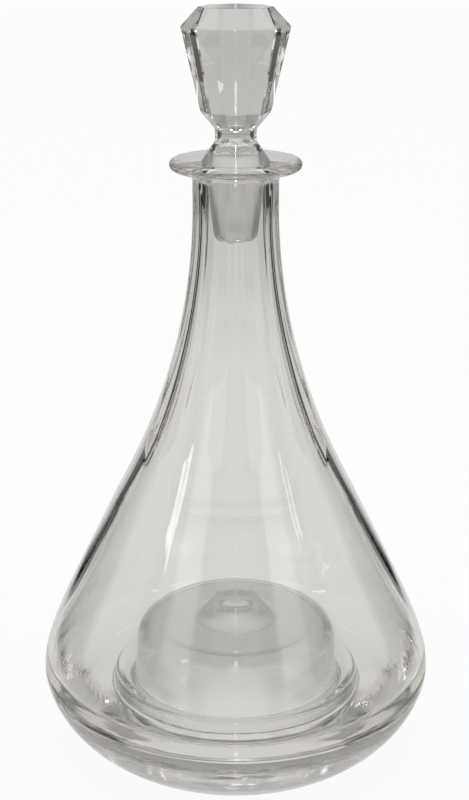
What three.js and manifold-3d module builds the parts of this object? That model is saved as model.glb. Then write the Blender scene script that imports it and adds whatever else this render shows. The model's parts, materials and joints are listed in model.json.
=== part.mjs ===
// A clear glass decanter: a bell-shaped body with a fluted neck, a thick base and a stepped well
// pushed up into it, and a loose octagonal stopper whose tapered peg drops into the neck.
// Millimetres, +Z up. The origin is on the axis, on the surface that the foot stands on, and the
// front of the decanter faces -Y.

import * as THREE from "three";
import { mergeVertices } from "three/addons/utils/BufferGeometryUtils.js";
import Module from "manifold-3d";

const wasm = await Module();
wasm.setup();

// Driving dimensions of the body
const BODY_HEIGHT = 244.5; // top of the lip above the table
const BELLY_RADIUS = 79.25; // widest ring, outside
const BELLY_HEIGHT = 36.2; // height of the widest ring
const FLANK_RADIUS = 48.2; // outside radius where the neck's curve meets the belly's
const FLANK_HEIGHT = 110; // height of that ring
const FLANK_SPREAD = 0.485; // growth of the radius there, for each millimetre down
const NECK_RADIUS = 16.4; // slimmest ring of the neck, outside, between the flutes
const WAIST_BELOW_LIP = 16.5; // slimmest ring below the top of the lip
const FLANK_WALL = 4.15; // glass where the neck's curve meets the belly's
const BELLY_WALL = 3.2; // glass of the belly

// Fullness of the outside curve: how far each end's tangent reaches, as a share of its stretch
const NECK_FULLNESS = 0.53;
const FLANK_FULLNESS_ABOVE = 0.1;
const FLANK_FULLNESS_BELOW = 0.62;
const BELLY_FULLNESS_ABOVE = 0.17;
const BELLY_FULLNESS_BELOW = 0.2;
const FOOT_FULLNESS = 0.825;

// Lip and mouth
const LIP_RADIUS = 25.1; // outermost ring of the lip
const LIP_THICKNESS = 4; // the lip's round edge
const LIP_DISH = 1.9; // how far the top of the lip falls towards the mouth
const UNDER_LIP_FILLET = 3.4; // hollow between the neck and the underside of the lip

// Foot, trough and well
const FOOT_RADIUS = 46; // outer edge of the flat ring that the body stands on
const FOOT_WIDTH = 2; // width of that ring
const FOOT_SLOPE = 0.35; // rise of the base for each millimetre outward, at the foot
const TROUGH_HEIGHT = 28.5; // floor of the trough round the well, liquid side
const TROUGH_FILLET = 1.5; // hollow where the step rises from the trough
const BOWL_HEIGHT = 14; // height over which the wall runs round into the trough
const BOWL_WIDTH = 14; // width over which it does
const STEP_RADIUS = 50.4; // wide lower part of the well, liquid side
const STEP_HEIGHT = 33.5; // top of that part
const STEP_EDGE_FILLET = 3; // top edge of the step
const STEP_ROOT_FILLET = 3; // hollow where the narrow part rises from the step
const WELL_FOOT_RADIUS = 41.6; // narrow upper part of the well where it leaves the step
const WELL_TOP_RADIUS = 40.2; // the same at its top, before its rounding
const WELL_HEIGHT = 55.3; // top of that part
const WELL_SHOULDER = 8.4; // rounding of its top edge
const WELL_WALL = 3.5; // glass of the well
const POCKET_HEIGHT = 21.9; // ceiling of the wide pocket under the base
const POCKET_FILLET = 1.2; // rounding of the pocket's upper edge
const BOSS_HEIGHT = 63.2; // raised boss on top of the well
const BOSS_RIM_RADIUS = 6.6; // rim round the boss's shallow dimple
const BOSS_TOP_RADIUS = 9.3;
const BOSS_ROOT_RADIUS = 15.8;
const BOSS_DIMPLE = 0.9; // depth of the dimple
const BOSS_EDGE_FILLET = 2.2; // top edge of the boss
const BOSS_ROOT_FILLET = 3.5; // hollow where the boss rises from the well

// Flutes of the neck: flat cuts with arched ends, and round strips between them
const FLUTES = 6;
const FLUTE_SHARE = 0.562; // share of the turn that the flutes take
const FLUTE_FOOT_HEIGHT = 127; // tip of a flute on the shoulder
const FLUTE_FOOT_ARCH = 13; // length over which it widens above the tip
const FLUTE_TOP_BELOW_LIP = 12; // other tip, below the top of the lip
const FLUTE_TOP_ARCH = 9; // length over which it narrows to that tip

// Stopper
const STOPPER_HEAD_HEIGHT = 56.7; // from the edge of the skirt to the flat top
const STOPPER_PANELS = 8;
const TABLE_RADIUS = 13.9; // corners of the flat top
const GIRDLE_RADIUS = 20.5; // corners of the widest ring
const CROWN_HEIGHT = 7; // from the widest ring to the top
const HEAD_FOOT_RADIUS = 13.4; // corners where the long panels end
const PANEL_HEIGHT = 30.7; // height of the long panels
const STEM_RADIUS = 7.95; // corners of the slim stem
const STEM_TAPER_HEIGHT = 6.6; // from the end of the long panels to the stem
const STEM_HEIGHT = 4.6;
const SKIRT_RADIUS = 13.4; // widest ring of the round skirt under the stem
const SKIRT_ABOVE_MOUTH = 0.7; // skirt's edge above the mouth's edge
const SKIRT_PANEL_FADE = 4.2; // how far the panels run out onto the skirt
const SEAT_HEIGHT = 3.6; // cone under the skirt, over the mouth
const PEG_RADIUS = 11.1; // top of the peg
const PEG_TIP_RADIUS = 8;
const PEG_LENGTH = 26.5;
const PEG_TIP_ROUNDING = 1.8;
const FIT_GAP = 0.36; // between the stopper and the mouth, measured level

// How finely the round pieces are divided
const FLUTE_SEGMENTS = 4; // across a flute, an even number
const STRIP_SEGMENTS = 4; // across a round strip
const STOPPER_SEGMENTS = 40;
const ARC_STEPS = 3; // in a rounded corner
const LIP_STEPS = 6; // round the edge of the lip
const BASE_STEPS = 8; // outside, from the foot to the belly
const SIDE_STEPS = 7; // outside, from the belly to the flank
const NECK_STEPS = 13; // outside, from the flank to the waist
const INNER_SIDE_STEPS = 12;
const INNER_NECK_STEPS = 10;
const BOWL_STEPS = 6; // where the inner wall runs into the trough
const ROUND_REACH = 0.55; // share of a corner that makes a cubic curve round

// Heights and radii that follow from the dimensions above
const waistHeight = BODY_HEIGHT - WAIST_BELOW_LIP;
const lipEdgeRadius = LIP_THICKNESS / 2;
const lipRingRadius = LIP_RADIUS - lipEdgeRadius;
const lipRingHeight = BODY_HEIGHT - lipEdgeRadius;
const mouthHeight = BODY_HEIGHT - LIP_DISH;
const skirtHeight = mouthHeight + SKIRT_ABOVE_MOUTH;
const pegTopHeight = skirtHeight - SEAT_HEIGHT;
const seatSlope = (SKIRT_RADIUS - PEG_RADIUS) / SEAT_HEIGHT;
const mouthRadius = SKIRT_RADIUS - seatSlope * SKIRT_ABOVE_MOUTH + FIT_GAP;
const boreRadius = PEG_RADIUS + FIT_GAP;
const footInnerRadius = FOOT_RADIUS - FOOT_WIDTH;
const fluteTopHeight = BODY_HEIGHT - FLUTE_TOP_BELOW_LIP;
const flutePitch = (2 * Math.PI) / FLUTES;
const fluteEdgeAngle = (flutePitch * FLUTE_SHARE) / 2;

const material = (color) => new THREE.MeshStandardMaterial({ color, roughness: 0.03, metalness: 0 });
const bodyGlass = material(0xdfe1df);
const stopperGlass = material(0xd2d2cf);

const point = (radius, height) => new THREE.Vector2(radius, height);

// Rounds the corners of an open outline. Each corner is [radius, height, fillet].
function filleted(corners) {
  const points = [];
  corners.forEach(([radius, height, fillet], index) => {
    const corner = point(radius, height);
    if (!fillet) {
      points.push(corner);
      return;
    }
    const before = point(...corners[index - 1]).sub(corner);
    const after = point(...corners[index + 1]).sub(corner);
    const halfAngle = Math.abs(before.angleTo(after)) / 2;
    const room = Math.min(before.length(), after.length()) / 2;
    const reach = Math.min(fillet / Math.tan(halfAngle), room);
    const start = before.setLength(reach).add(corner);
    const end = after.setLength(reach).add(corner);
    points.push(...new THREE.QuadraticBezierCurve(start, corner, end).getPoints(ARC_STEPS));
  });
  return points;
}

// The outside of the body from the foot to the waist of the neck, as three smooth stretches.
function outsideCurves() {
  const foot = point(FOOT_RADIUS, 0);
  const belly = point(BELLY_RADIUS, BELLY_HEIGHT);
  const flank = point(FLANK_RADIUS, FLANK_HEIGHT);
  const waist = point(NECK_RADIUS, waistHeight);
  const footRun = BELLY_RADIUS - FOOT_RADIUS;
  const bellyRun = FLANK_HEIGHT - BELLY_HEIGHT;
  const neckRun = waistHeight - FLANK_HEIGHT;
  const outward = point(1, FOOT_SLOPE).normalize();
  const downFlank = point(FLANK_SPREAD, -1).normalize();
  const from = (start, direction, distance) => start.clone().addScaledVector(direction, distance);
  const up = point(0, 1);
  return {
    base: new THREE.CubicBezierCurve(
      foot,
      from(foot, outward, footRun * FOOT_FULLNESS),
      from(belly, up, -BELLY_HEIGHT * BELLY_FULLNESS_BELOW),
      belly,
    ),
    side: new THREE.CubicBezierCurve(
      belly,
      from(belly, up, bellyRun * BELLY_FULLNESS_ABOVE),
      from(flank, downFlank, bellyRun * FLANK_FULLNESS_BELOW),
      flank,
    ),
    neck: new THREE.CubicBezierCurve(
      flank,
      from(flank, downFlank, -neckRun * FLANK_FULLNESS_ABOVE),
      from(waist, up, -neckRun * NECK_FULLNESS),
      waist,
    ),
  };
}

// A stretch of the inside: the outside curve moved in by a wall that changes evenly along it.
function insideOf(curve, steps, wallAtStart, wallAtEnd) {
  return Array.from({ length: steps + 1 }, (_, index) => {
    const share = index / steps;
    const tangent = curve.getTangent(share);
    const wall = THREE.MathUtils.lerp(wallAtStart, wallAtEnd, THREE.MathUtils.smoothstep(share, 0, 1));
    return curve.getPoint(share).add(point(-tangent.y, tangent.x).multiplyScalar(wall));
  });
}

// Ends a falling outline at a height, with a last point between the two that lie round it.
function endedAt(outline, height) {
  const index = outline.findIndex((place) => place.y < height);
  const above = outline[index - 1];
  const share = (above.y - height) / (above.y - outline[index].y);
  return [...outline.slice(0, index), above.clone().lerp(outline[index], share)];
}

// The round stretch where the inner wall runs into the floor of the trough.
function bowl(wall) {
  const top = wall.at(-1);
  const down = top.clone().sub(wall.at(-2)).normalize();
  const floorEdge = point(top.x - BOWL_WIDTH, TROUGH_HEIGHT);
  return new THREE.CubicBezierCurve(
    top,
    top.clone().addScaledVector(down, BOWL_HEIGHT * ROUND_REACH),
    point(floorEdge.x + BOWL_WIDTH * ROUND_REACH, TROUGH_HEIGHT),
    floorEdge,
  ).getPoints(BOWL_STEPS).slice(1);
}

// The open underside: a pocket inside the foot ring, and the hollow of the well above it.
function underside() {
  const ceiling = WELL_HEIGHT - WELL_WALL;
  const bossCeiling = BOSS_HEIGHT - BOSS_DIMPLE - WELL_WALL;
  return filleted([
    [0, bossCeiling],
    [BOSS_TOP_RADIUS - WELL_WALL, bossCeiling, BOSS_EDGE_FILLET],
    [BOSS_ROOT_RADIUS - WELL_WALL, ceiling, BOSS_ROOT_FILLET],
    [WELL_TOP_RADIUS - WELL_WALL, ceiling, WELL_SHOULDER - WELL_WALL],
    [WELL_FOOT_RADIUS - WELL_WALL, POCKET_HEIGHT],
    [footInnerRadius, POCKET_HEIGHT, POCKET_FILLET],
    [footInnerRadius, 0],
  ]);
}

// The liquid side of the step, the well and its boss, from the trough to the axis.
function well(floorEdge) {
  return filleted([
    [floorEdge.x, floorEdge.y],
    [STEP_RADIUS, TROUGH_HEIGHT, TROUGH_FILLET],
    [STEP_RADIUS, STEP_HEIGHT, STEP_EDGE_FILLET],
    [WELL_FOOT_RADIUS, STEP_HEIGHT, STEP_ROOT_FILLET],
    [WELL_TOP_RADIUS, WELL_HEIGHT, WELL_SHOULDER],
    [BOSS_ROOT_RADIUS, WELL_HEIGHT, BOSS_ROOT_FILLET],
    [BOSS_TOP_RADIUS, BOSS_HEIGHT, BOSS_EDGE_FILLET],
    [BOSS_RIM_RADIUS, BOSS_HEIGHT],
    [BOSS_RIM_RADIUS / 2, BOSS_HEIGHT - BOSS_DIMPLE],
    [0, BOSS_HEIGHT - BOSS_DIMPLE],
  ]).slice(1);
}

// The glass between the outside and the inside, as one outline that starts and ends on the axis.
function bodyOutline() {
  const { base, side, neck } = outsideCurves();
  const below = underside();
  const outside = [
    ...base.getPoints(BASE_STEPS),
    ...side.getPoints(SIDE_STEPS).slice(1),
    ...neck.getPoints(NECK_STEPS).slice(1),
  ];
  const lipUnderside = lipRingHeight - lipEdgeRadius;
  const underLip = filleted([
    [NECK_RADIUS, waistHeight],
    [NECK_RADIUS, lipUnderside - UNDER_LIP_FILLET / 2, UNDER_LIP_FILLET],
    [lipRingRadius, lipUnderside],
  ]).slice(1);
  const lipEdge = new THREE.EllipseCurve(
    lipRingRadius, lipRingHeight, lipEdgeRadius, lipEdgeRadius, -Math.PI / 2, Math.PI / 2,
  ).getPoints(LIP_STEPS).slice(1);
  const bore = filleted([
    [lipRingRadius, BODY_HEIGHT],
    [mouthRadius, mouthHeight],
    [boreRadius, pegTopHeight],
    [boreRadius, waistHeight],
  ]).slice(1);
  const wall = endedAt([
    ...insideOf(neck, INNER_NECK_STEPS, FLANK_WALL, NECK_RADIUS - boreRadius).reverse(),
    ...insideOf(side, INNER_SIDE_STEPS, BELLY_WALL, FLANK_WALL).reverse().slice(1),
  ], TROUGH_HEIGHT + BOWL_HEIGHT);
  const trough = bowl(wall);
  const firstOutside = below.length;
  return {
    points: [
      ...below, ...outside, ...underLip, ...lipEdge, ...bore.slice(0, -1), ...wall, ...trough,
      ...well(trough.at(-1)),
    ],
    firstOutside,
    lastOutside: firstOutside + outside.length + underLip.length,
  };
}

// Angle from the middle of a flute to its edge at a height, where the cut is less deep at its ends.
function edgeAngle(height) {
  const aboveFoot = (height - FLUTE_FOOT_HEIGHT) / FLUTE_FOOT_ARCH;
  const belowTop = (fluteTopHeight - height) / FLUTE_TOP_ARCH;
  const depth = THREE.MathUtils.clamp(Math.min(aboveFoot, belowTop), 0, 1);
  return Math.acos(1 - depth * (1 - Math.cos(fluteEdgeAngle)));
}

// Turn of a column of corners from the middle of the nearest flute. The columns are spread so that
// one of them follows each edge.
function turnInFlute(steps) {
  const toEdge = FLUTE_SEGMENTS / 2;
  const away = Math.abs(steps);
  if (away <= toEdge) return (steps / toEdge) * fluteEdgeAngle;
  const strip = flutePitch / 2 - fluteEdgeAngle;
  return Math.sign(steps) * (fluteEdgeAngle + ((away - toEdge) / (STRIP_SEGMENTS / 2)) * strip);
}

// Spreads the columns and cuts the flutes flat, at the front and at every sixth of a turn from it.
function cutFlutes(geometry, pointCount, first, last) {
  const position = geometry.getAttribute("position");
  const columns = FLUTE_SEGMENTS + STRIP_SEGMENTS;
  for (let index = 0; index < position.count; index += 1) {
    const column = Math.floor(index / pointCount);
    const place = index % pointCount;
    const flute = Math.round(column / columns);
    const turn = turnInFlute(column - flute * columns);
    const height = position.getY(index);
    const edge = edgeAngle(height);
    const outside = place >= first && place < last;
    const flat = outside && Math.abs(turn) < edge ? Math.cos(edge) / Math.cos(turn) : 1;
    const radius = Math.hypot(position.getX(index), position.getZ(index)) * flat;
    const angle = flute * flutePitch + turn;
    position.setXYZ(index, radius * Math.sin(angle), height, radius * Math.cos(angle));
  }
}

// A turned solid standing on +Z, with only its shared corners left.
function turned(points, segments, reshape = () => {}) {
  const geometry = new THREE.LatheGeometry(points, segments);
  reshape(geometry);
  geometry.deleteAttribute("normal");
  geometry.deleteAttribute("uv");
  geometry.rotateX(Math.PI / 2);
  return mergeVertices(geometry);
}

const toSolid = (geometry) => new wasm.Manifold(new wasm.Mesh({
  numProp: 3,
  vertProperties: new Float32Array(geometry.getAttribute("position").array),
  triVerts: new Uint32Array(geometry.index.array),
}));

function toGeometry(solid) {
  const { vertProperties, triVerts } = solid.getMesh();
  const geometry = new THREE.BufferGeometry();
  geometry.setAttribute("position", new THREE.BufferAttribute(vertProperties, 3));
  geometry.setIndex(new THREE.BufferAttribute(triVerts, 1));
  return geometry;
}

function bodyGeometry() {
  const { points, firstOutside, lastOutside } = bodyOutline();
  return turned(points, FLUTES * (FLUTE_SEGMENTS + STRIP_SEGMENTS), (geometry) => {
    cutFlutes(geometry, points.length, firstOutside, lastOutside);
  });
}

// The stopper is a round blank, with a round peg and skirt, and a head of flat panels.
function stopperGeometry() {
  const tableHeight = skirtHeight + STOPPER_HEAD_HEIGHT;
  const girdleHeight = tableHeight - CROWN_HEIGHT;
  const headFootHeight = girdleHeight - PANEL_HEIGHT;
  const stemTopHeight = headFootHeight - STEM_TAPER_HEIGHT;
  const stemFootHeight = stemTopHeight - STEM_HEIGHT;
  const roomy = GIRDLE_RADIUS * 1.2;
  const blank = turned(filleted([
    [0, pegTopHeight - PEG_LENGTH],
    [PEG_TIP_RADIUS, pegTopHeight - PEG_LENGTH, PEG_TIP_ROUNDING],
    [PEG_RADIUS, pegTopHeight],
    [SKIRT_RADIUS, skirtHeight],
    [STEM_RADIUS, stemFootHeight],
    [roomy, stemFootHeight],
    [roomy, tableHeight + CROWN_HEIGHT],
    [0, tableHeight + CROWN_HEIGHT],
  ]), STOPPER_SEGMENTS);
  const skirtSlope = (SKIRT_RADIUS - STEM_RADIUS) / (stemFootHeight - skirtHeight);
  const fadeRadius = (STEM_RADIUS + skirtSlope * SKIRT_PANEL_FADE) / Math.cos(Math.PI / STOPPER_PANELS);
  const panels = turned([
    point(0, pegTopHeight - 2 * PEG_LENGTH),
    point(roomy, pegTopHeight - 2 * PEG_LENGTH),
    point(roomy, skirtHeight),
    point(fadeRadius, stemFootHeight - SKIRT_PANEL_FADE),
    point(STEM_RADIUS, stemFootHeight),
    point(STEM_RADIUS, stemTopHeight),
    point(HEAD_FOOT_RADIUS, headFootHeight),
    point(GIRDLE_RADIUS, girdleHeight),
    point(TABLE_RADIUS, tableHeight),
    point(0, tableHeight),
  ], STOPPER_PANELS);
  return toGeometry(toSolid(blank).intersect(toSolid(panels)));
}

function piece(name, geometry, glass) {
  const mesh = new THREE.Mesh(geometry, glass);
  mesh.name = name;
  return mesh;
}

const decanter = new THREE.Group();
decanter.add(piece("decanter_body", bodyGeometry(), bodyGlass));
decanter.add(piece("stopper", stopperGeometry(), stopperGlass));

export default decanter;
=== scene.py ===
# %% [markdown]
# A clear glass decanter of two pieces: a thick-based, bell-shaped body with six flutes down its
# neck, and a loose stopper with a cut head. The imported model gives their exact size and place.
# Clear glass shows nothing of its own. What is seen are the surroundings, bent by its surfaces and
# dimmed by its thickness, so this lesson spends its effort on the section of the glass, on both
# its inside and its outside, and then on the light round it.

# %% Load the fixed frame
import json
import math

import bmesh
import bpy
from mathutils import Matrix, Vector, noise
from mathutils.geometry import interpolate_bezier

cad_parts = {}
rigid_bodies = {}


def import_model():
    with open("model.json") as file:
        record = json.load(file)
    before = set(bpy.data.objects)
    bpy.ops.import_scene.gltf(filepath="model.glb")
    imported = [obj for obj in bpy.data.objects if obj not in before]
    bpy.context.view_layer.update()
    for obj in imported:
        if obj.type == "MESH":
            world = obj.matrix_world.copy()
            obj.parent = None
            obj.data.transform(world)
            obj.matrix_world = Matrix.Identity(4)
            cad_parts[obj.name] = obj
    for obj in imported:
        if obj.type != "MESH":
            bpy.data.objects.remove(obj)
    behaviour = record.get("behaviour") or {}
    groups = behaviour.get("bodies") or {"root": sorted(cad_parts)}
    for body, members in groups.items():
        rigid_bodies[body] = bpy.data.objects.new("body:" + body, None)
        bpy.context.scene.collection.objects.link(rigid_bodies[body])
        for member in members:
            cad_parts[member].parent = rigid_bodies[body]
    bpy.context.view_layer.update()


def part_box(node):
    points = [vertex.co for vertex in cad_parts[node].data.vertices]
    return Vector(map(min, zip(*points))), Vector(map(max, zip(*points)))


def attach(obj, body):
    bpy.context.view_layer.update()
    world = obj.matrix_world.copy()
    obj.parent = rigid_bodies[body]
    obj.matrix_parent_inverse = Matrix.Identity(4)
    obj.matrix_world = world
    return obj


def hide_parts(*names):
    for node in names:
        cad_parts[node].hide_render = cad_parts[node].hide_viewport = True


MM = 0.001
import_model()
_, body_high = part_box("decanter_body")
stopper_low, stopper_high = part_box("stopper")
print("body up to", round(body_high.z / MM, 1), "mm")
print("stopper from", round(stopper_low.z / MM, 1), "to", round(stopper_high.z / MM, 1), "mm")

# %% [markdown]
# The sizes are those of the construction, in metres. The height of the lip, the radius of the
# belly and both ends of the stopper are read from the frame, and the rest are written once here.
# "Fullness" says how far the tangent at the end of a sweep reaches, as a share of the sweep. The
# bead, the groove, the dome and the softer fillets are finer forms that only this model has.

# %% Sizes of the body
BODY_HEIGHT = body_high.z
BELLY_RADIUS = body_high.x
BELLY_HEIGHT = 36.2 * MM
FLANK_RADIUS = 48.2 * MM
FLANK_HEIGHT = 110 * MM
FLANK_SPREAD = 0.485
NECK_RADIUS = 16.4 * MM
WAIST_BELOW_LIP = 16.5 * MM
FLANK_WALL = 4.15 * MM
BELLY_WALL = 3.2 * MM
NECK_FULLNESS = 0.53
FLANK_FULLNESS_ABOVE = 0.1
FLANK_FULLNESS_BELOW = 0.62
BELLY_FULLNESS_ABOVE = 0.17
BELLY_FULLNESS_BELOW = 0.2
FOOT_FULLNESS = 0.825
LIP_RADIUS = 25.1 * MM
LIP_THICKNESS = 4.0 * MM
LIP_DISH = 1.9 * MM
UNDER_LIP_FILLET = 3.4 * MM
MOUTH_EDGE_FILLET = 0.5 * MM
BORE_EDGE_FILLET = 0.8 * MM
print("belly", round(2 * BELLY_RADIUS / MM, 1), "mm across, neck", round(2 * NECK_RADIUS / MM, 1), "mm")

# %% Sizes of the foot, the trough and the well
FOOT_RADIUS = 46 * MM
FOOT_WIDTH = 2 * MM
FOOT_SLOPE = 0.35
FOOT_EDGE_FILLET = 0.5 * MM
TROUGH_HEIGHT = 28.5 * MM
TROUGH_FILLET = 1.5 * MM
BOWL_HEIGHT = 14 * MM
BOWL_WIDTH = 14 * MM
STEP_RADIUS = 50.4 * MM
STEP_HEIGHT = 33.5 * MM
BEAD_WIDTH = 4.8 * MM
BEAD_FILLET = 2.3 * MM
GROOVE_RADIUS = 44.8 * MM
GROOVE_DEPTH = 2.3 * MM
GROOVE_FILLET = 1.2 * MM
WELL_FOOT_RADIUS = 41.6 * MM
WELL_TOP_RADIUS = 40.2 * MM
WELL_HEIGHT = 55.3 * MM
WELL_SHOULDER = 8.4 * MM
WELL_WALL = 3.5 * MM
WELL_MOUTH_FILLET = 0.8 * MM
POCKET_HEIGHT = 21.9 * MM
POCKET_FILLET = 1.2 * MM
print("well", round(2 * WELL_TOP_RADIUS / MM, 1), "mm across, up to", round(WELL_HEIGHT / MM, 1), "mm")

# %% Sizes of the boss on the well and of the dome under it
BOSS_HEIGHT = 63.2 * MM
BOSS_RIM_RADIUS = 6.6 * MM
BOSS_TOP_RADIUS = 9.3 * MM
BOSS_ROOT_RADIUS = 15.8 * MM
BOSS_DIMPLE = 0.9 * MM
BOSS_RIM_FILLET = 0.9 * MM
DIMPLE_FILLET = 2.0 * MM
BOSS_EDGE_FILLET = 2.2 * MM
BOSS_ROOT_FILLET = 7 * MM
DOME_RADIUS = 13 * MM
DOME_TOP_RADIUS = 4.5 * MM
DOME_RISE = 6 * MM
print("boss up to", round(BOSS_HEIGHT / MM, 1), "mm")

# %% Sizes of the stopper
TABLE_RADIUS = 13.9 * MM
GIRDLE_RADIUS = stopper_high.x
CROWN_HEIGHT = 7 * MM
HEAD_FOOT_RADIUS = 13.4 * MM
PANEL_HEIGHT = 30.7 * MM
STEM_RADIUS = 7.95 * MM
STEM_TAPER_HEIGHT = 6.6 * MM
STEM_HEIGHT = 4.6 * MM
SKIRT_RADIUS = 13.4 * MM
SKIRT_ABOVE_MOUTH = 0.7 * MM
SKIRT_PANEL_FADE = 4.2 * MM
SEAT_HEIGHT = 3.6 * MM
PEG_RADIUS = 11.1 * MM
PEG_TIP_RADIUS = 8 * MM
PEG_TIP_ROUNDING = 2.6 * MM
PEG_TOP_FILLET = 1.0 * MM
SKIRT_EDGE_FILLET = 0.5 * MM
STEM_FOOT_FILLET = 3.0 * MM
STEM_TOP_FILLET = 2.0 * MM
HEAD_FOOT_FILLET = 0.4 * MM
HEAD_EDGE_FILLET = 0.3 * MM
FIT_GAP = 0.36 * MM
skirt_height = BODY_HEIGHT - LIP_DISH + SKIRT_ABOVE_MOUTH
peg_top_height = skirt_height - SEAT_HEIGHT
print("peg from", round(stopper_low.z / MM, 1), "to", round(peg_top_height / MM, 1), "mm")

# %% [markdown]
# A turned piece starts as half of its section: a line of points on the XZ plane that begins and
# ends on the axis. The long sweeps are Bezier stretches, and the corners are true arcs, because
# every kink in a section shows up again in a highlight and in what is seen through the glass.

# %% Outline helpers
CORNER_STEPS = 10
ROUND_REACH = 0.55
MOST_OF_A_SIDE = 0.49


def place(radius, height):
    return Vector((radius, 0.0, height))


def sweep(start, start_handle, end_handle, end, steps):
    return list(interpolate_bezier(start, start_handle, end_handle, end, steps + 1))


def rounded(corners, steps=CORNER_STEPS):
    """Rounds the corners of an open outline. Each corner is (radius, height, fillet radius)."""
    points = []
    for index, (radius, height, fillet) in enumerate(corners):
        corner = place(radius, height)
        if not fillet:
            points.append(corner)
            continue
        before = place(*corners[index - 1][:2]) - corner
        after = place(*corners[index + 1][:2]) - corner
        half = before.angle(after) / 2
        reach = min(fillet / math.tan(half), before.length * MOST_OF_A_SIDE, after.length * MOST_OF_A_SIDE)
        arc_radius = reach * math.tan(half)
        inward = (before.normalized() + after.normalized()).normalized()
        centre = corner + inward * arc_radius / math.sin(half)
        first = corner + before.normalized() * reach - centre
        last = corner + after.normalized() * reach - centre
        for step in range(steps + 1):
            points.append(centre + first.slerp(last, step / steps) * arc_radius)
    return points


def smooth_step(value, low, high):
    share = min(max((value - low) / (high - low), 0.0), 1.0)
    return share * share * (3 - 2 * share)


def moved_in(points, wall_at_start, wall_at_end):
    """The inside of a stretch of wall: each point moved square to the outline."""
    moved = []
    for index, point in enumerate(points):
        ahead = points[min(index + 1, len(points) - 1)]
        behind = points[max(index - 1, 0)]
        along = (ahead - behind).normalized()
        wall = wall_at_start + (wall_at_end - wall_at_start) * smooth_step(index, 0, len(points) - 1)
        moved.append(point + Vector((-along.z, 0.0, along.x)) * wall)
    return moved


# %% [markdown]
# The outside runs from the foot ring through a wide shallow base to the belly, in over the flank,
# and up a long hollow curve to the waist of the neck. Three Bezier stretches that share their
# tangents where they meet give it without a visible joint.

# %% Outside of the body
UP = Vector((0.0, 0.0, 1.0))
BASE_STEPS = 34
SIDE_STEPS = 34
NECK_STEPS = 60
waist_height = BODY_HEIGHT - WAIST_BELOW_LIP
foot = place(FOOT_RADIUS, 0.0)
belly = place(BELLY_RADIUS, BELLY_HEIGHT)
flank = place(FLANK_RADIUS, FLANK_HEIGHT)
waist = place(NECK_RADIUS, waist_height)
outward = Vector((1.0, 0.0, FOOT_SLOPE)).normalized()
down_flank = Vector((FLANK_SPREAD, 0.0, -1.0)).normalized()
foot_run = BELLY_RADIUS - FOOT_RADIUS
belly_run = FLANK_HEIGHT - BELLY_HEIGHT
neck_run = waist_height - FLANK_HEIGHT
base_sweep = sweep(foot, foot + outward * foot_run * FOOT_FULLNESS,
                   belly - UP * BELLY_HEIGHT * BELLY_FULLNESS_BELOW, belly, BASE_STEPS)
side_sweep = sweep(belly, belly + UP * belly_run * BELLY_FULLNESS_ABOVE,
                   flank + down_flank * belly_run * FLANK_FULLNESS_BELOW, flank, SIDE_STEPS)
neck_sweep = sweep(flank, flank - down_flank * neck_run * FLANK_FULLNESS_ABOVE,
                   waist - UP * neck_run * NECK_FULLNESS, waist, NECK_STEPS)
outside = base_sweep + side_sweep[1:] + neck_sweep[1:]
print("outside of the body:", len(outside), "points")

# %% [markdown]
# The lip is a flange with a round edge, dished towards the mouth. Under the seat of the stopper
# the mouth narrows into the bore, which runs straight down to the waist of the neck. There is no
# true edge on fire polished glass, so each corner gets its small fillet.

# %% Lip and mouth
LIP_STEPS = 16
lip_edge = LIP_THICKNESS / 2
lip_ring = LIP_RADIUS - lip_edge
lip_underside = BODY_HEIGHT - LIP_THICKNESS
seat_slope = (SKIRT_RADIUS - PEG_RADIUS) / SEAT_HEIGHT
mouth_radius = SKIRT_RADIUS - seat_slope * SKIRT_ABOVE_MOUTH + FIT_GAP
bore_radius = PEG_RADIUS + FIT_GAP
under_lip = rounded([
    (NECK_RADIUS, waist_height, 0),
    (NECK_RADIUS, lip_underside - UNDER_LIP_FILLET / 2, UNDER_LIP_FILLET),
    (lip_ring, lip_underside, 0),
])[1:]
lip_round = []
for step in range(1, LIP_STEPS + 1):
    turn = math.pi * (step / LIP_STEPS - 0.5)
    edge_height = BODY_HEIGHT - lip_edge + lip_edge * math.sin(turn)
    lip_round.append(place(lip_ring + lip_edge * math.cos(turn), edge_height))
mouth = rounded([
    (lip_ring, BODY_HEIGHT, 0),
    (mouth_radius, BODY_HEIGHT - LIP_DISH, MOUTH_EDGE_FILLET),
    (bore_radius, peg_top_height, BORE_EDGE_FILLET),
    (bore_radius, waist_height, 0),
])[1:-1]
print("bore radius", round(bore_radius / MM, 2), "mm")

# %% [markdown]
# From the waist down the inside follows the outside at the thickness of the wall, until it runs
# round into the floor of the trough. The base below that floor is solid glass, which is where the
# rings at the foot of the real one come from.

# %% Inside of the wall
BOWL_STEPS = 24
inside = moved_in(neck_sweep, FLANK_WALL, NECK_RADIUS - bore_radius)[::-1]
inside += moved_in(side_sweep, BELLY_WALL, FLANK_WALL)[-2::-1]
inside = [point for point in inside if point.z > TROUGH_HEIGHT + BOWL_HEIGHT]
wall_foot = inside[-1]
down_wall = (inside[-1] - inside[-2]).normalized()
floor_edge = place(wall_foot.x - BOWL_WIDTH, TROUGH_HEIGHT)
bowl = sweep(wall_foot, wall_foot + down_wall * BOWL_HEIGHT * ROUND_REACH,
             floor_edge + Vector((BOWL_WIDTH * ROUND_REACH, 0.0, 0.0)), floor_edge, BOWL_STEPS)[1:]
print("trough from radius", round(floor_edge.x / MM, 1), "mm")

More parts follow.
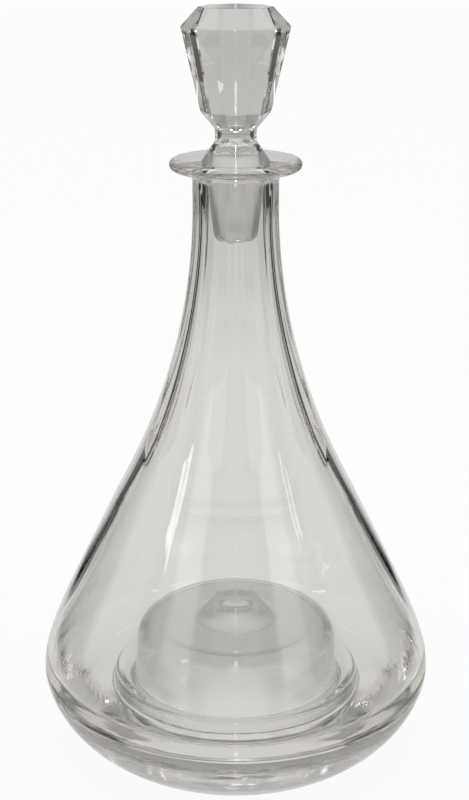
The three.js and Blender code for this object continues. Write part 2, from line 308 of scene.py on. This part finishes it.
# %% [markdown]
# The well is the same glass pushed up from below: a low step, a drum on it, and a boss with a
# shallow dimple. The step ends in a round bead with a groove behind it, which draws the dark-lined
# ring round the foot of the drum. The open underside is a second outline, one wall below the
# first, over a wide pocket inside the foot ring. Under the boss it only rises in a low dome, so
# the boss is nearly solid and works as a small lens. The hollow above the pocket is not fire
# polished but stays satin.

# %% Well and underside
well = rounded([
    (floor_edge.x, floor_edge.z, 0),
    (STEP_RADIUS, TROUGH_HEIGHT, TROUGH_FILLET),
    (STEP_RADIUS, STEP_HEIGHT, BEAD_FILLET),
    (STEP_RADIUS - BEAD_WIDTH, STEP_HEIGHT, BEAD_FILLET),
    (GROOVE_RADIUS, STEP_HEIGHT - GROOVE_DEPTH, GROOVE_FILLET),
    (WELL_FOOT_RADIUS, STEP_HEIGHT - GROOVE_DEPTH, GROOVE_FILLET),
    (WELL_TOP_RADIUS, WELL_HEIGHT, WELL_SHOULDER),
    (BOSS_ROOT_RADIUS, WELL_HEIGHT, BOSS_ROOT_FILLET),
    (BOSS_TOP_RADIUS, BOSS_HEIGHT, BOSS_EDGE_FILLET),
    (BOSS_RIM_RADIUS, BOSS_HEIGHT, BOSS_RIM_FILLET),
    (BOSS_RIM_RADIUS / 2, BOSS_HEIGHT - BOSS_DIMPLE, DIMPLE_FILLET),
    (0.0, BOSS_HEIGHT - BOSS_DIMPLE, 0),
])[1:]
ceiling = WELL_HEIGHT - WELL_WALL
foot_inner = FOOT_RADIUS - FOOT_WIDTH
underside = rounded([
    (0.0, ceiling + DOME_RISE, 0),
    (DOME_TOP_RADIUS, ceiling + DOME_RISE, DOME_RISE),
    (DOME_RADIUS, ceiling, BOSS_ROOT_FILLET),
    (WELL_TOP_RADIUS - WELL_WALL, ceiling, WELL_SHOULDER - WELL_WALL),
    (WELL_FOOT_RADIUS - WELL_WALL, POCKET_HEIGHT, WELL_MOUTH_FILLET),
    (foot_inner, POCKET_HEIGHT, POCKET_FILLET),
    (foot_inner, 0.0, FOOT_EDGE_FILLET),
    (FOOT_RADIUS, 0.0, 0),
])[:-1]
body_outline = underside + outside + under_lip + lip_round + mouth + inside + bowl + well
print("body outline:", len(body_outline), "points")

# %% [markdown]
# Both pieces are solids of revolution before anything is cut, so a spin of the outline makes them.
# The outline starts and ends on the axis, and the corners that fall together there are merged.

# %% Spin an outline and finish a piece
MERGE_DISTANCE = 1e-6


def spin_outline(points, segments):
    """A bmesh of the outline turned once round the Z axis, closed at both poles."""
    bm = bmesh.new()
    corners = [bm.verts.new(point) for point in points]
    edges = [bm.edges.new(pair) for pair in zip(corners, corners[1:])]
    bmesh.ops.spin(bm, geom=corners + edges, axis=(0, 0, 1), cent=(0, 0, 0), angle=math.tau,
                   steps=segments, use_merge=True)
    bmesh.ops.remove_doubles(bm, verts=bm.verts, dist=MERGE_DISTANCE)
    bmesh.ops.recalc_face_normals(bm, faces=bm.faces)
    return bm


def finish_piece(bm, name, sharp_angle):
    """Turns a bmesh into a smooth-shaded object at the origin, with sharp edges kept sharp."""
    mesh = bpy.data.meshes.new(name)
    bm.to_mesh(mesh)
    bm.free()
    piece = bpy.data.objects.new(name, mesh)
    bpy.context.scene.collection.objects.link(piece)
    mesh.shade_smooth()
    mesh.set_sharp_from_angle(angle=math.radians(sharp_angle))
    print(name, len(mesh.polygons), "faces")
    return piece


# %% [markdown]
# Six flutes are cut down the neck with plain round strips between them. A flute is a flat cut, so
# across it the surface lies at one distance from the axis, and its edges are where that flat
# meets the round neck. Where the cut runs out, on the shoulder and under the lip, it gets
# shallower and its edges close in, so each end is an arch. The corners of the mesh are shifted
# round the axis until one line of them follows each edge, which keeps the edge crisp.

# %% Sizes of the flutes
FLUTES = 6
FLUTE_SHARE = 0.562
BODY_SEGMENTS = 192
EDGE_SEGMENTS = 9
FLUTE_FOOT = 127 * MM
FLUTE_FOOT_ARCH = 13 * MM
FLUTE_TOP_BELOW_LIP = 12 * MM
FLUTE_TOP = BODY_HEIGHT - FLUTE_TOP_BELOW_LIP
FLUTE_TOP_ARCH = 9 * MM
FLUTE_CLEAR = 24 * MM
NARROWEST_EDGE = 0.25
flute_pitch = math.tau / FLUTES
full_edge = flute_pitch * FLUTE_SHARE / 2
even_edge = EDGE_SEGMENTS * math.tau / BODY_SEGMENTS
print("a flute spans", round(math.degrees(2 * full_edge), 1), "degrees")


def flute_edge(height):
    """Angle from the middle of a flute to its edge, 0 where the neck is still round."""
    above_foot = (height - FLUTE_FOOT) / FLUTE_FOOT_ARCH
    below_top = (FLUTE_TOP - height) / FLUTE_TOP_ARCH
    depth = min(max(min(above_foot, below_top), 0.0), 1.0)
    return math.acos(1 - depth * (1 - math.cos(full_edge)))


def line_angle(height):
    """Angle of the line of corners that stands for an edge, also beyond the flute's ends."""
    if FLUTE_FOOT < height < FLUTE_TOP:
        return max(flute_edge(height), NARROWEST_EDGE * full_edge)
    beyond = FLUTE_FOOT - height if height < FLUTE_TOP else height - FLUTE_TOP
    return full_edge * (NARROWEST_EDGE + (1 - NARROWEST_EDGE) * smooth_step(beyond, 0, FLUTE_CLEAR))


# %% Cut the flutes
SKIN_TOLERANCE = 0.01 * MM
SKIN_DIGITS = 6


def cut_flutes(bm):
    """Shifts the corners of the outside to the flutes, and returns how many were cut."""
    skin = {round(point.z, SKIN_DIGITS): point.x for point in outside + under_lip}
    cut = 0
    for corner in bm.verts:
        radius = corner.co.xy.length
        height = corner.co.z
        if abs(skin.get(round(height, SKIN_DIGITS), 0.0) - radius) > SKIN_TOLERANCE:
            continue
        angle = math.atan2(corner.co.x, -corner.co.y)
        middle = round(angle / flute_pitch) * flute_pitch
        turn = abs(angle - middle)
        line = line_angle(height)
        if turn <= even_edge:
            turn *= line / even_edge
        else:
            rest = flute_pitch / 2
            turn = line + (turn - even_edge) * (rest - line) / (rest - even_edge)
        edge = flute_edge(height)
        if turn < edge:
            radius *= math.cos(edge) / math.cos(turn)
            cut += 1
        angle = middle + math.copysign(turn, angle - middle)
        corner.co.x = radius * math.sin(angle)
        corner.co.y = -radius * math.cos(angle)
    return cut


# %% Body
SHARP_ANGLE = 40
body_mesh = spin_outline(body_outline, BODY_SEGMENTS)
print("corners moved by the flutes:", cut_flutes(body_mesh))
glass_body = finish_piece(body_mesh, "glass_body", SHARP_ANGLE)

# %% [markdown]
# The stopper is turned as a round blank, and its head is then ground into eight flat panels.
# Moving each corner in to the panel's plane is the same thing as grinding it there. The corners
# are drawn towards the ridges first, so that each ridge becomes the narrow polished chamfer of the
# real piece while the panels between stay truly flat. The side of the peg is ground to fit the
# mouth. Its end is left as it broke off: clear, and a little uneven.

# %% Outline of the stopper
STOPPER_CORNER_STEPS = 5
LONGEST_STRETCH = 1.2 * MM
table_height = stopper_high.z
girdle_height = table_height - CROWN_HEIGHT
head_foot_height = girdle_height - PANEL_HEIGHT
stem_top_height = head_foot_height - STEM_TAPER_HEIGHT
stem_foot_height = stem_top_height - STEM_HEIGHT
skirt_slope = (SKIRT_RADIUS - STEM_RADIUS) / (stem_foot_height - skirt_height)
stopper_outline = rounded([
    (0.0, stopper_low.z, 0),
    (PEG_TIP_RADIUS, stopper_low.z, PEG_TIP_ROUNDING),
    (PEG_RADIUS, peg_top_height, PEG_TOP_FILLET),
    (SKIRT_RADIUS, skirt_height, SKIRT_EDGE_FILLET),
    (STEM_RADIUS, stem_foot_height, STEM_FOOT_FILLET),
    (STEM_RADIUS, stem_top_height, STEM_TOP_FILLET),
    (HEAD_FOOT_RADIUS, head_foot_height, HEAD_FOOT_FILLET),
    (GIRDLE_RADIUS, girdle_height, HEAD_EDGE_FILLET),
    (TABLE_RADIUS, table_height, HEAD_EDGE_FILLET),
    (0.0, table_height, 0),
], steps=STOPPER_CORNER_STEPS)


def lengthened(points, longest):
    """Adds points along the straight stretches, so that no stretch is longer than asked."""
    line = [points[0]]
    for low, high in zip(points, points[1:]):
        count = max(1, math.ceil((high - low).length / longest))
        line += [low.lerp(high, step / count) for step in range(1, count + 1)]
    return line


stopper_line = lengthened(stopper_outline, LONGEST_STRETCH)
print("stopper outline:", len(stopper_line), "points")

# %% Grind the head
PANELS = 8
STEPS_PER_PANEL = 12
CHAMFER = 0.35 * MM
RIDGE_CROWDING = 1.6
SKIRT_RIDGE_SLOPE = 0.08
ABOVE_SKIRT_EDGE = 0.2 * MM


def grind_panels(bm):
    """Moves the corners of the head, the stem and the top of the skirt in to eight flat panels."""
    half = math.pi / PANELS
    for corner in bm.verts:
        radius = corner.co.xy.length
        if radius < MERGE_DISTANCE or corner.co.z < skirt_height + ABOVE_SKIRT_EDGE:
            continue
        angle = math.atan2(corner.co.x, -corner.co.y)
        panel = math.floor(angle / (2 * half))
        across = (angle - 2 * half * panel) / half - 1
        spread = math.copysign(1 - (1 - abs(across)) ** RIDGE_CROWDING, across)
        turn = spread * (1 - CHAMFER / (half * radius)) * half
        down_skirt = stem_foot_height - corner.co.z
        ridge = radius + max(down_skirt, 0.0) * SKIRT_RIDGE_SLOPE * skirt_slope
        flat = ridge * math.cos(half) / math.cos(turn)
        fade = smooth_step(down_skirt, 0, SKIRT_PANEL_FADE)
        ground = min(radius, flat + (radius - flat) * fade)
        new_angle = turn + 2 * half * panel + half
        corner.co.x = ground * math.sin(new_angle)
        corner.co.y = -ground * math.cos(new_angle)


# %% Break the end of the peg
PEG_UNEVEN_HEIGHT = 5 * MM
PEG_UNEVENNESS = 0.8 * MM
PEG_WAVE = 300
PEG_NARROWING = 0.05


def roughen_peg_end(bm):
    """Lifts and narrows the end of the peg by smooth noise, which fades out up the peg."""
    for corner in bm.verts:
        above_end = corner.co.z - stopper_low.z
        if above_end < PEG_UNEVEN_HEIGHT:
            fade = 1 - smooth_step(above_end, 0, PEG_UNEVEN_HEIGHT)
            wave = 0.5 + 0.5 * noise.noise(corner.co * PEG_WAVE)
            corner.co.z += PEG_UNEVENNESS * wave * fade
            corner.co.xy *= 1 - PEG_NARROWING * wave * fade


# %% Stopper
PANEL_SHARP_ANGLE = 15
stopper_segments = PANELS * STEPS_PER_PANEL
stopper_mesh = spin_outline(stopper_line, stopper_segments)
# Half a step round, each ridge lies between two lines of corners, which is what makes the chamfer.
half_step = Matrix.Rotation(math.pi / stopper_segments, 3, "Z")
bmesh.ops.rotate(stopper_mesh, verts=stopper_mesh.verts, cent=(0, 0, 0), matrix=half_step)
grind_panels(stopper_mesh)
roughen_peg_end(stopper_mesh)
glass_stopper = finish_piece(stopper_mesh, "glass_stopper", PANEL_SHARP_ANGLE)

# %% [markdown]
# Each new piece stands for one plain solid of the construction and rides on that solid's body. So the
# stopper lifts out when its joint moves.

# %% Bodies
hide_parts("decanter_body")
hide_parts("stopper")
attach(glass_body, "body")
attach(glass_stopper, "stopper")

# %% [markdown]
# Sums of shader values read best as sums, so one small class wraps a socket and turns + - * into
# Math nodes. A second class holds the node tree of a material or of the world. Its add makes any
# node from its type, its settings and the values or links of its sockets, and its ramp is the soft
# step from one value to another that most masks here need.

# %% Shader helpers


class Wire:
    """A socket of a shader that can be used in sums."""

    def __init__(self, finish, node, output):
        self.finish = finish
        self.node = node
        self.socket = node.outputs[output]

    def maths(self, operation, *values):
        return self.finish.add("Math", {"operation": operation}, dict(enumerate(values)))

    def __add__(self, other):
        return self.maths("ADD", self, other)

    def __radd__(self, other):
        return self.maths("ADD", other, self)

    def __sub__(self, other):
        return self.maths("SUBTRACT", self, other)

    def __rsub__(self, other):
        return self.maths("SUBTRACT", other, self)

    def __mul__(self, other):
        return self.maths("MULTIPLY", self, other)

    def __rmul__(self, other):
        return self.maths("MULTIPLY", other, self)


class Finish:
    """The node tree of a material or of the world."""

    def __init__(self, owner):
        owner.use_nodes = True
        self.owner = owner
        self.tree = owner.node_tree
        self.tree.nodes.clear()

    def add(self, kind, settings=None, values=None, output=0):
        node = self.tree.nodes.new("ShaderNode" + kind)
        for name, value in (settings or {}).items():
            setattr(node, name, value)
        for name, value in (values or {}).items():
            if isinstance(value, Wire):
                self.tree.links.new(value.socket, node.inputs[name])
            else:
                node.inputs[name].default_value = value
        return Wire(self, node, output) if node.outputs else node

    def ramp(self, value, low, high, start, end):
        return self.add("MapRange", {"interpolation_type": "SMOOTHSTEP"}, {
            "Value": value, "From Min": low, "From Max": high, "To Min": start, "To Max": end})


def split(finish, vector):
    node = finish.add("SeparateXYZ", values={"Vector": vector}).node
    return [Wire(finish, node, axis) for axis in ("X", "Y", "Z")]


def from_axis(across, along):
    """Distance from the axis of the decanter."""
    square = across * across + along * along
    return square.maths("SQRT", square)


# %% [markdown]
# Glass bends light by its index and dims it by its thickness, so the tint belongs in the volume
# and the surface stays white: thin walls stay light and the solid stopper and base go darker by
# themselves. Each piece has one material all over. With two, a ray that enters through the one and
# leaves through the other is still counted as inside the glass, and draws dark blots. So the ground
# parts are marked on the mesh, and the material reads its roughness from there.

# %% Mark the ground parts
PLACE_DIGITS = 5
CLEAR_END_HEIGHT = 2.2 * MM
hollow_places = {(round(point.x, PLACE_DIGITS), round(point.z, PLACE_DIGITS))
                 for point in underside if point.z > POCKET_HEIGHT}


def in_hollow(spot):
    return (round(spot.xy.length, PLACE_DIGITS), round(spot.z, PLACE_DIGITS)) in hollow_places


def on_ground_peg(spot):
    return stopper_low.z + CLEAR_END_HEIGHT < spot.z < peg_top_height


def mark_ground(piece, is_ground):
    """Writes 1 on the corners that are ground or satin and 0 on the polished ones."""
    ground = piece.data.attributes.new("ground", "FLOAT", "POINT")
    for corner, mark in zip(piece.data.vertices, ground.data):
        mark.value = float(is_ground(corner.co))
    print(piece.name, "ground corners:", sum(int(mark.value) for mark in ground.data))


mark_ground(glass_body, in_hollow)
mark_ground(glass_stopper, on_ground_peg)

# %% [markdown]
# The skin of blown and turned glass is never quite even. It has long, shallow waves that run up
# the wall, and finer rings that the turning left low down. Both are far too low to see on the
# outline, but they break what is seen through the glass into fine streaks. A bump is enough for
# that: the rings come from noise that changes fast with height and radius and slowly round the
# axis. The ground and satin parts get an even roughness with a fine grain in it.

# %% Skin and grain of the glass
SKIN_WAVES = 55.0
WAVE_STRETCH = 0.35
SKIN_DETAIL = 2.0
RINGS = 300.0
RING_WAVES = 25.0
RING_TOP = 62 * MM
GRAIN_SCALE = 2600.0
GRAIN_DETAIL = 1.0
GRAIN_SPREAD = (0.3, 0.7)
GRAIN = 0.02


def skin_bump(finish, spot, wave_height, ring_height):
    across, along, height = split(finish, spot)
    stretched = finish.add("Mapping", values={"Vector": spot, "Scale": (1.0, 1.0, WAVE_STRETCH)})
    waves = finish.add("TexNoise", values={"Vector": stretched, "Scale": SKIN_WAVES, "Detail": SKIN_DETAIL})
    round_axis = finish.add("CombineXYZ", values={
        "X": across * RING_WAVES, "Y": along * RING_WAVES, "Z": (height + from_axis(across, along)) * RINGS})
    rings = finish.add("TexNoise", values={"Vector": round_axis, "Scale": 1.0, "Detail": SKIN_DETAIL})
    low_down = finish.ramp(height, RING_TOP / 2, RING_TOP, 1.0, 0.0)
    return finish.add("Bump", values={
        "Height": waves * wave_height + rings * low_down * ring_height, "Distance": 1.0, "Strength": 1.0})


def ground_roughness(finish, spot, roughness):
    ground = finish.add("Attribute", {"attribute_name": "ground"}, output="Fac")
    specks = finish.add("TexNoise", values={"Vector": spot, "Scale": GRAIN_SCALE, "Detail": GRAIN_DETAIL})
    return ground * finish.ramp(specks, *GRAIN_SPREAD, roughness - GRAIN, roughness + GRAIN)


# %% Glass
WHITE = (1.0, 1.0, 1.0, 1.0)
GLASS_INDEX = 1.52
GLASS_DENSITY = 12.0
GLASS_TINT = (0.80, 0.79, 0.76, 1.0)
SATIN = 0.35
GROUND = 0.3
BLOWN_WAVE_HEIGHT = 0.05 * MM
CUT_WAVE_SHARE = 0.3
RING_HEIGHT = 0.08 * MM


def glass(name, roughness, wave_height, ring_height):
    finish = Finish(bpy.data.materials.new(name))
    spot = finish.add("TexCoord", output="Object")
    shader = finish.add("BsdfPrincipled", values={
        "Base Color": WHITE, "IOR": GLASS_INDEX, "Transmission Weight": 1.0,
        "Roughness": ground_roughness(finish, spot, roughness),
        "Normal": skin_bump(finish, spot, wave_height, ring_height)})
    tint = finish.add("VolumeAbsorption", values={"Color": GLASS_TINT, "Density": GLASS_DENSITY})
    finish.add("OutputMaterial", values={"Surface": shader, "Volume": tint})
    print(name, len(finish.tree.nodes), "nodes")
    return finish.owner


glass_body.data.materials.append(glass("blown_glass", SATIN, BLOWN_WAVE_HEIGHT, RING_HEIGHT))
glass_stopper.data.materials.append(glass("cut_glass", GROUND, CUT_WAVE_SHARE * BLOWN_WAVE_HEIGHT, 0.0))

# %% [markdown]
# Clear glass on white would vanish, so it needs something dark to bend. Far out at both sides the
# floor and the room are dark. These sides are too far round to be seen straight through the glass,
# but its steep edges bend the view to them, and so get their dark outlines. A thin bright gap in
# each side breaks the outlines up into finer lines. Straight behind, all stays bright, and in
# front there are narrow dark stripes for the glass to mirror and bend.

# %% Dark sides, bright gaps and stripes
# Angles are in degrees, counted both ways from straight behind the decanter.
SIDE_START = 28.0
SIDE_END = 70.0
SIDE_EDGE = 5.0
GAP_TURN = 45.0
GAP_HALF = (2.0, 4.0)
STRIPES = 8
STRIPE_EDGE = (-0.9, -0.6)


def turned(across, along):
    """The angle from straight behind the decanter, in radians, with its sign and without."""
    turn = across.maths("ARCTAN2", across, along)
    return turn, turn.maths("ABSOLUTE", turn)


def sides_and_front(finish, turn, around):
    """Two masks with soft edges: the dark sides with the stripes of the front, and the whole front."""
    start, end, edge = map(math.radians, (SIDE_START, SIDE_END, SIDE_EDGE))
    front = finish.ramp(around, end, end + edge, 0.0, 1.0)
    side = finish.ramp(around, start, start + edge, 0.0, 1.0) - front
    off_gap = around - math.radians(GAP_TURN)
    gap_edge, gap_end = map(math.radians, GAP_HALF)
    side = side * finish.ramp(off_gap.maths("ABSOLUTE", off_gap), gap_edge, gap_end, 0.0, 1.0)
    stripe = finish.ramp(turn.maths("COSINE", turn * STRIPES), *STRIPE_EDGE, 1.0, 0.0) * front
    return side + stripe, front


# %% [markdown]
# The camera sees the floor and the room as plain white. Rays that come off the glass or through it
# see them dimmer and a little warm, which is what makes clear glass look grey and solid on white.
# Light Path tells the two apart.

# %% What the camera and the glass see
WARM_WHITE = (1.0, 0.985, 0.955, 1.0)
# A Mix node has sockets of the same name for numbers, vectors and colours, so they go by number:
# its factor, its two colours and, among its outputs, the mixed colour.
MIX_FACTOR = 0
FIRST_COLOUR = 6
SECOND_COLOUR = 7
MIXED_COLOUR = 2


def rays(finish):
    """1 for a ray from the camera, and 1 for one that comes off glass or through it."""
    camera_ray = finish.add("LightPath", output="Is Camera Ray")
    glossy_ray = finish.add("LightPath", output="Is Glossy Ray")
    glass_ray = finish.add("LightPath", output="Is Transmission Ray")
    return camera_ray, glossy_ray.maths("MAXIMUM", glossy_ray, glass_ray)


def seen_colour(finish, camera_ray, level):
    """White for the camera and a warm white for what shows in the glass, both at the level given."""
    colour = finish.add("Mix", {"data_type": "RGBA"}, {
        MIX_FACTOR: camera_ray, FIRST_COLOUR: WARM_WHITE, SECOND_COLOUR: WHITE}, output=MIXED_COLOUR)
    return finish.add("VectorMath", {"operation": "SCALE"}, {0: colour, "Scale": level})


# %% [markdown]
# The floor is a wide disc. Near the decanter the glass sees it bright, and further out it falls
# off. In front of the decanter it is brightest, which lightens the thick base. Close round the foot
# a painted contact shadow of the decanter darkens the floor, and the base shows it as dark rings.
# For the camera a small share of the floor is a plain lit surface, which catches the shadow that the lamps
# cast.

# %% Brightness of the floor
# Brightness is a share of white. A pair gives the distances from the axis where a change starts and ends.
NEAR_FLOOR = 0.70
FAR_FLOOR = 0.35
FALL = (0.4, 2.0)
DARK_FLOOR = 0.0
DARK_FROM = (0.24, 0.34)
FRONT_FLOOR = 1.0
FRONT_FLOOR_START = (0.10, 0.16)
FRONT_FLOOR_END = (0.6, 0.9)
# The painted contact shadow round the foot: the share of the floor's brightness it takes away, and where it
# fades in and out.
FOOT_SHADOW = 0.7
FOOT_SHADOW_INNER = (42 * MM, 44 * MM)
FOOT_SHADOW_OUTER = (47 * MM, 53 * MM)


def floor_brightness(finish, across, along):
    """How bright the glass sees the floor at a place."""
    away = from_axis(across, along)
    # Painted contact shadow: a dark ring drawn into the floor's brightness round the foot.
    shadow = finish.ramp(away, *FOOT_SHADOW_INNER, 0.0, FOOT_SHADOW)
    shadow = shadow * finish.ramp(away, *FOOT_SHADOW_OUTER, 1.0, 0.0)
    pale = finish.ramp(away, *FALL, NEAR_FLOOR, FAR_FLOOR) * (1 - shadow)
    sides, front = sides_and_front(finish, *turned(across, along))
    lit_front = front * finish.ramp(away, *FRONT_FLOOR_START, 0.0, 1.0)
    lit_front = lit_front * finish.ramp(away, *FRONT_FLOOR_END, 1.0, 0.0)
    pale = pale + lit_front * (FRONT_FLOOR - pale)
    dark = finish.ramp(away, *DARK_FROM, 0.0, 1.0) * sides
    return pale - dark * (pale - DARK_FLOOR)


# %% Floor
STUDIO_RADIUS = 4.0
FLOOR_SEGMENTS = 96
FLOOR_COLOUR = (0.9, 0.9, 0.9, 1.0)
FLOOR_GLOW = 0.93
studio_mesh = bmesh.new()
bmesh.ops.create_circle(studio_mesh, cap_ends=True, segments=FLOOR_SEGMENTS, radius=STUDIO_RADIUS)
studio_floor = finish_piece(studio_mesh, "studio_floor", SHARP_ANGLE)
floor_finish = Finish(bpy.data.materials.new("studio_floor"))
across, along, _ = split(floor_finish, floor_finish.add("TexCoord", output="Object"))
camera_ray, glass_ray = rays(floor_finish)
level = camera_ray + glass_ray * floor_brightness(floor_finish, across, along)
glow = floor_finish.add("Emission", values={"Color": seen_colour(floor_finish, camera_ray, level)})
lit = floor_finish.add("BsdfDiffuse", values={"Color": FLOOR_COLOUR})
glow_share = camera_ray * FLOOR_GLOW + glass_ray
# Both shaders of a Mix Shader go into a socket named Shader, so these go by number too.
floor_surface = floor_finish.add("MixShader", values={0: glow_share, 1: lit, 2: glow})
floor_finish.add("OutputMaterial", values={"Surface": floor_surface})
studio_floor.data.materials.append(floor_finish.owner)

# %% [markdown]
# The room carries the floor on above the horizon. Its dark sides and stripes fade out with height,
# and its front is brighter than its back. Low down behind the camera it is dark once more, as a
# room is behind a camera, and the front of the glass mirrors some of that. All other rays meet an
# even brightness, which is the light that the room sheds on the floor.

# %% Brightness of the room
# A top is how far up a direction points, from 0 at the horizon to 1 overhead.
BACKDROP = 0.55
CEILING = 0.40
BACKDROP_TOP = 0.45
DARK_ROOM = 0.03
DARK_ROOM_TOP = 0.65
FRONT_ROOM = 0.75
FRONT_ROOM_TOP = (0.4, 0.8)
BEHIND_CAMERA_TURN = (115.0, 140.0)
BEHIND_CAMERA_TOP = (0.12, 0.22)
BEHIND_CAMERA_DARK = 0.9


def room_brightness(finish, across, along, upward):
    """How bright the glass sees the room in a direction."""
    room = finish.ramp(upward, 0.0, BACKDROP_TOP, BACKDROP, CEILING)
    low = finish.ramp(upward, 0.0, DARK_ROOM_TOP, 1.0, 0.0)
    turn, around = turned(across, along)
    sides, front = sides_and_front(finish, turn, around)
    room = room + front * finish.ramp(upward, *FRONT_ROOM_TOP, 1.0, 0.0) * (FRONT_ROOM - room)
    behind_edge, behind_full = map(math.radians, BEHIND_CAMERA_TURN)
    behind_camera = finish.ramp(around, behind_edge, behind_full, 0.0, BEHIND_CAMERA_DARK)
    behind_camera = behind_camera * finish.ramp(upward, *BEHIND_CAMERA_TOP, 1.0, 0.0)
    dark = low * sides
    dark = dark.maths("MAXIMUM", dark, behind_camera)
    return room - dark * (room - DARK_ROOM)


# %% World
ROOM_LIGHT = 0.8
world = bpy.data.worlds.new("studio_world")
bpy.context.scene.world = world
world_finish = Finish(world)
across, along, upward = split(world_finish, world_finish.add("TexCoord", output="Generated"))
camera_ray, glass_ray = rays(world_finish)
level = camera_ray + glass_ray * room_brightness(world_finish, across, along, upward)
level = level + (1 - camera_ray - glass_ray) * ROOM_LIGHT
background = world_finish.add("Background", values={"Color": seen_colour(world_finish, camera_ray, level)})
world_finish.add("OutputWorld", values={"Surface": background})
print("world", len(world_finish.tree.nodes), "nodes")

# %% [markdown]
# The highlights on the real one come from a narrow lamp to the left, a weaker one to the right, a
# column of light over the camera, and two large soft lamps beside it with a dark gap between. A
# thin strip high up behind adds a faint bright line down the middle of the base. Each lamp's
# strength is given as its brightness to the eye, so that it can be resized without a new guess.

# %% Lamps


def lamp(name, azimuth, elevation, distance, width, height, radiance):
    """An area lamp that faces the decanter. Azimuth 0 is the camera's side, and 90 the right."""
    data = bpy.data.lights.new(name, "AREA")
    data.shape = "RECTANGLE"
    data.size = width
    data.size_y = height
    data.energy = radiance * width * height * math.pi
    turn, rise = math.radians(azimuth), math.radians(elevation)
    direction = Vector((math.sin(turn) * math.cos(rise), -math.cos(turn) * math.cos(rise), math.sin(rise)))
    piece = bpy.data.objects.new(name, data)
    bpy.context.scene.collection.objects.link(piece)
    piece.location = direction * distance + UP * BODY_HEIGHT / 2
    piece.rotation_euler = direction.to_track_quat("Z", "Y").to_euler()
    piece.visible_camera = False
    print(name, round(data.energy, 3), "watts")


lamp("left_strip", azimuth=-64, elevation=28, distance=1.5, width=0.10, height=0.5, radiance=6.5)
lamp("right_strip", azimuth=62, elevation=28, distance=1.5, width=0.06, height=0.45, radiance=3.5)
lamp("top_strip", azimuth=0, elevation=60, distance=1.5, width=0.05, height=0.8, radiance=9.0)
lamp("back_strip", azimuth=180, elevation=45, distance=1.5, width=0.025, height=0.6, radiance=4.0)
lamp("left_softbox", azimuth=-40, elevation=30, distance=1.8, width=0.6, height=1.0, radiance=0.9)
lamp("right_softbox", azimuth=40, elevation=30, distance=1.8, width=0.6, height=1.0, radiance=0.9)

# %% [markdown]
# Light that enters thick glass is thrown from wall to wall many times before it gets out again.
# Blender gives a path up after twelve bounces and after four reflections, and what is given up
# turns black. That drew a broad dark band round the heel, so the limits are raised.

# %% Light paths
GLASS_BOUNCES = 48
light_paths = bpy.context.scene.cycles
light_paths.max_bounces = GLASS_BOUNCES
light_paths.glossy_bounces = GLASS_BOUNCES
light_paths.transmission_bounces = GLASS_BOUNCES
print("bounces:", light_paths.max_bounces)

# %% [markdown]
# The camera stands just over half a metre away and a little above the stopper, and looks down by
# about nineteen degrees. At so short a distance the foot and the lip show as clear ellipses.

# %% Camera
CAMERA_DISTANCE = 0.5685
CAMERA_HEIGHT = 0.3424
CAMERA_PITCH = 18.807
CAMERA_LENS = 68.3
SENSOR_HEIGHT = 36
CAMERA_SHIFT = -0.0016
camera_data = bpy.data.cameras.new("camera")
camera_data.sensor_fit = "VERTICAL"
camera_data.sensor_height = SENSOR_HEIGHT
camera_data.lens = CAMERA_LENS
camera_data.shift_x = CAMERA_SHIFT
camera = bpy.data.objects.new("camera", camera_data)
bpy.context.scene.collection.objects.link(camera)
camera.location = (0, -CAMERA_DISTANCE, CAMERA_HEIGHT)
camera.rotation_euler = (math.radians(90 - CAMERA_PITCH), 0, 0)
bpy.context.scene.camera = camera
bpy.context.scene.view_settings.view_transform = "Standard"
print("camera", CAMERA_DISTANCE, "m in front and", CAMERA_HEIGHT, "m up")
